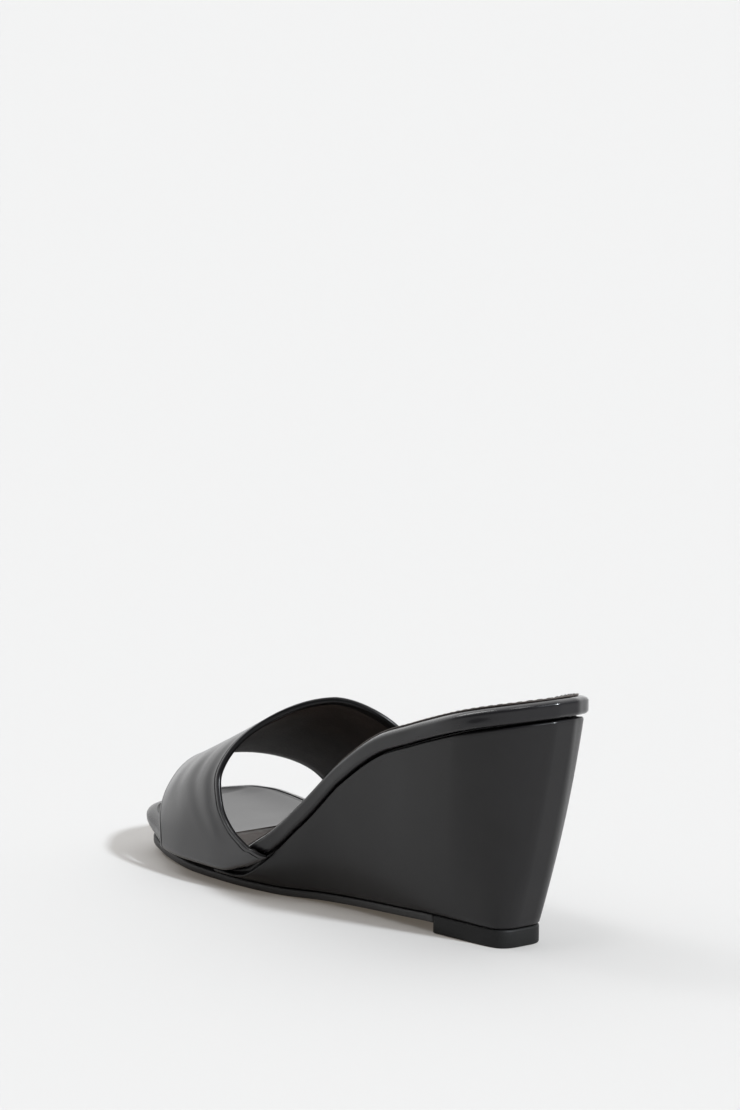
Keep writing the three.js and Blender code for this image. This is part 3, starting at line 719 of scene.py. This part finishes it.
def marginPoint(side, angle, run, v):
    turn = 0 if side < 0 else 1
    atStart = strap["tuckStart"]
    tucked = (atStart + (1 - atStart) * math.sin(angle)) * (1 - run) if side < 0 else 0
    droopFrom, droopTo, droop = strap["droop"]
    share = (rearAt(turn) - strap["tuck"] * tucked) * (1 - v) + frontAt(turn) * v
    inwards = strap["marginTurn"] * (1 - math.cos(angle)) + run * strap["marginWidth"]
    hang = tucked * droop * (1 - smooth(droopFrom, droopTo, share))
    height = strap["marginTurn"] * (1 - math.sin(angle)) - hang
    y = side * (footbedHalf(side, share) + strap["sideGap"] + strap["wall"] - inwards)
    return np.stack([-share * length, y, under(share, thickness - strap["marginLift"] - height)], -1)


def rowsOver(width):  # close rows near both edges, then even ones
    near = np.array(strap["edgeRows"]) / width
    middle = np.linspace(near[-1], 1 - near[-1], strap["rows"] - 2 * len(near) + 3)[1:-1]
    return np.concatenate([near, middle, 1 - near[::-1]])


def creasesOver(turnOf, width, v):  # depth in mm of the troughs, less the ridges beside them
    wander, speed, step = strap["drift"]
    ridgeHigh, ridgeAway = strap["ridge"]
    crease = np.zeros(v.shape)
    for place, start, end, deep, wide in strap["creases"]:
        middle = (place + wander * np.sin(speed * turnOf + place * step))[:, None]
        along = smooth(start, (start + end) / 2, turnOf) * (1 - smooth((start + end) / 2, end, turnOf))
        spread = (wide / width)[:, None]
        trough = bell(v, middle, spread) - ridgeHigh * bell(v, middle + ridgeAway * spread, spread)
        crease += along[:, None] * deep * trough
    ends, edges = strap["calmEnds"], strap["calmEdges"]
    onArch = smooth(0, ends, turnOf) * (1 - smooth(1 - ends, 1, turnOf))
    return crease * onArch[:, None] * smooth(0, edges, v) * (1 - smooth(1 - edges, 1, v))


def makeStrap():
    # stations round the foot: the lateral margin, the arch, the medial margin, each with its turn and angle
    turns = np.linspace(0, 1, strap["steps"] + 1)
    angles = [(math.pi / 2, 1), (math.pi / 2, 0.5)] + [(a, 0) for a in quarter(strap["turnRings"])[::-1]]
    stations = [(0.0, lambda v, a=a, r=r: marginPoint(-1, a, r, v), a) for a, r in angles]
    stations += [(t, lambda v, t=t: archPoint(t, v), 0) for t in turns]
    stations += [(1.0, lambda v, a=a, r=r: marginPoint(1, a, r, v), a) for a, r in reversed(angles)]
    turnOf = np.array([s[0] for s in stations])
    thinner = strap["marginWall"] - strap["wall"]
    walls = np.array([strap["wall"] + thinner * s[2] / (math.pi / 2) for s in stations])
    ends = [s[1](np.array([0.0, 1.0])) for s in stations]
    width = np.array([np.linalg.norm(e[1] - e[0]) for e in ends])
    v = np.stack([rowsOver(w) for w in width])
    outer = np.stack([s[1](row) for s, row in zip(stations, v)])

    around = np.gradient(outer, axis=0)
    forward = np.gradient(outer, axis=1)
    inward = np.cross(forward, around)
    inward /= np.linalg.norm(inward, axis=2)[..., None]

    rest = width[:, None] * v
    fromEdge = np.minimum(rest, width[:, None] - rest)
    foldAt, foldDeep, foldWide = strap["fold"]
    crease = creasesOver(turnOf, width, v) + foldDeep * bell(fromEdge, foldAt, foldWide)
    liningFrom = strap["shadedTurnedEdge"]
    liningIn = strap["liningStep"] * smooth(liningFrom, liningFrom + strap["liningFade"], fromEdge)
    shell = outer + inward * crease[..., None]
    inner = outer + inward * (walls[:, None] + liningIn)[..., None]

    # each girth station is one closed loop: out over the leather, round the rim, back along the lining
    def rim(j, beyond):
        ahead = outer[:, j] - outer[:, beyond]
        ahead /= np.linalg.norm(ahead, axis=1)[:, None]
        through = inner[:, j] - shell[:, j]
        return [shell[:, j] + through * deep + ahead * walls[:, None] * stand for deep, stand in strap["rim"]]

    front = rim(-1, -2)
    rear = rim(0, 1)
    loops = np.concatenate([
        shell, np.stack(front, 1), inner[:, ::-1], np.stack(rear[::-1], 1)], axis=1)
    count, around = loops.shape[:2]
    points = loops.reshape(-1, 3)
    i = np.arange(count - 1)[:, None]
    j = np.arange(around)[None, :]
    k = (j + 1) % around
    here, beyond = i * around, (i + 1) * around
    quads = np.stack([here + j, here + k, beyond + k, beyond + j], -1).reshape(-1, 4)
    rows, folds = v.shape[1], len(strap["rim"])
    innerStart = rows + folds
    faceMaterial = np.zeros((count - 1, around), int)
    lit = sum(deep <= strap["rimLit"] for deep, stand in strap["rim"])
    faceMaterial[:, rows - 1 + lit:innerStart] = 2  # past the lit fold comes the darker turned edge, painted shade on the rim's turned face
    faceMaterial[:, innerStart + rows - 1:around - lit] = 2
    backwards = fromEdge[:-1, ::-1]
    faceMaterial[:, innerStart:innerStart + rows - 1] = np.where(
        np.maximum(backwards[:, :-1], backwards[:, 1:]) > liningFrom, 1, 2)
    for turnedIn in (slice(None, len(angles)), slice(-len(angles), None)):  # the margins have no lining
        faceMaterial[turnedIn, innerStart:innerStart + rows - 1] = 2
    faces = list(quads)
    faceMaterial = list(faceMaterial.reshape(-1))
    faces += [list(range(around)), [(count - 1) * around + n for n in range(around)][::-1]]
    faceMaterial += [0, 0]
    if signedVolume(points, faces) < 0:
        faces = [list(f)[::-1] for f in faces]
    skins = [strapLeather, liningLeather, shadedTurnedEdge]
    piece = makePiece("strapLeather", points, faces, skins, faceMaterial)
    return finishPiece(piece, "upper_strap")


makeStrap()
print("strap made")


# a pale sweep lit a little from below, a bright backdrop ahead and dim walls behind the camera
room = {
    "floor": 0.4, "floorWide": 240, "floorGlow": (0.09, 0.077, 0.063), "diffuseBoost": 1.75,
    "ahead": (-0.79, 0.615, 0.22), "skySpan": (-0.5, 0.8), "skyDark": 0.1, "skyBright": 1.3,
    "backdrop": "#f2f2f2", "panelCore": 0.6,
    # soft panels: direction, half angle in degrees, strength over the sky
    "panels": [((-0.87, -0.47, 0.16), 26, 0.34), ((0.05, -0.25, 0.97), 8, 8.0),
               ((-0.64, -0.25, 0.74), 9, 9.5)],
    "sun": 4.2, "sunFrom": (0.745, 0.118, 0.656), "sunSoft": 5, "sunColour": (0.91, 0.955, 1.0),
}


def makeRoom():
    bpy.ops.mesh.primitive_plane_add(size=room["floorWide"], location=(0, 0, 0))
    floor = bpy.context.object
    floor.name = "floor"
    material, tree, shader = newMaterial("paleSweep")
    shader.inputs["Base Color"].default_value = (room["floor"], room["floor"], room["floor"], 1)
    shader.inputs["Roughness"].default_value = 1.0
    shader.inputs["Specular IOR Level"].default_value = 0.0
    shader.inputs["Emission Color"].default_value = room["floorGlow"] + (1,)
    shader.inputs["Emission Strength"].default_value = 1.0
    floor.data.materials.append(material)

    world = bpy.data.worlds.new("studio")
    world.use_nodes = True
    tree = world.node_tree
    tree.nodes.clear()
    where = addNode(tree, "ShaderNodeTexCoord").outputs["Generated"]

    def patch(direction, low, high, start, end):
        facing = addNode(tree, "ShaderNodeVectorMath", {
            "operation": "DOT_PRODUCT", 1: Vector(direction).normalized()}, {0: where})
        level = addNode(tree, "ShaderNodeMapRange", {
            "interpolation_type": "SMOOTHSTEP",
            "From Min": low, "From Max": high, "To Min": start, "To Max": end},
            {"Value": facing.outputs["Value"]})
        return level.outputs["Result"]

    total = patch(room["ahead"], *room["skySpan"], room["skyDark"], room["skyBright"])
    for direction, half, strength in room["panels"]:
        edge = math.cos(math.radians(half))
        core = math.cos(math.radians(half * room["panelCore"]))
        panel = patch(direction, edge, core, 0, strength)
        total = addNode(tree, "ShaderNodeMath", {"operation": "ADD"}, {0: total, 1: panel}).outputs["Value"]
    # matt surfaces also get the light of the room's walls, which the gloss doesn't mirror
    seen = addNode(tree, "ShaderNodeLightPath")
    boost = addNode(tree, "ShaderNodeMapRange", {"To Min": 1.0, "To Max": room["diffuseBoost"]},
                    {"Value": seen.outputs["Is Diffuse Ray"]})
    total = addNode(tree, "ShaderNodeMath", {"operation": "MULTIPLY"}, {0: total, 1: boost.outputs["Result"]})
    light = addNode(tree, "ShaderNodeBackground", links={"Strength": total.outputs["Value"]})
    plain = addNode(tree, "ShaderNodeBackground", {"Color": hexColour(room["backdrop"])})
    both = addNode(tree, "ShaderNodeMixShader", links={
        0: seen.outputs["Is Camera Ray"], 1: light.outputs["Background"], 2: plain.outputs["Background"]})
    addNode(tree, "ShaderNodeOutputWorld", links={"Surface": both.outputs["Shader"]})
    scene.world = world

    data = bpy.data.lights.new("softKey", "SUN")
    data.energy, data.angle = room["sun"], math.radians(room["sunSoft"])
    data.color = room["sunColour"]
    key = bpy.data.objects.new("softKey", data)
    key.rotation_mode = "QUATERNION"
    key.rotation_quaternion = Vector(room["sunFrom"]).to_track_quat("Z", "Y")
    scene.collection.objects.link(key)


makeRoom()
scene.view_settings.view_transform = "Standard"
print("room made")
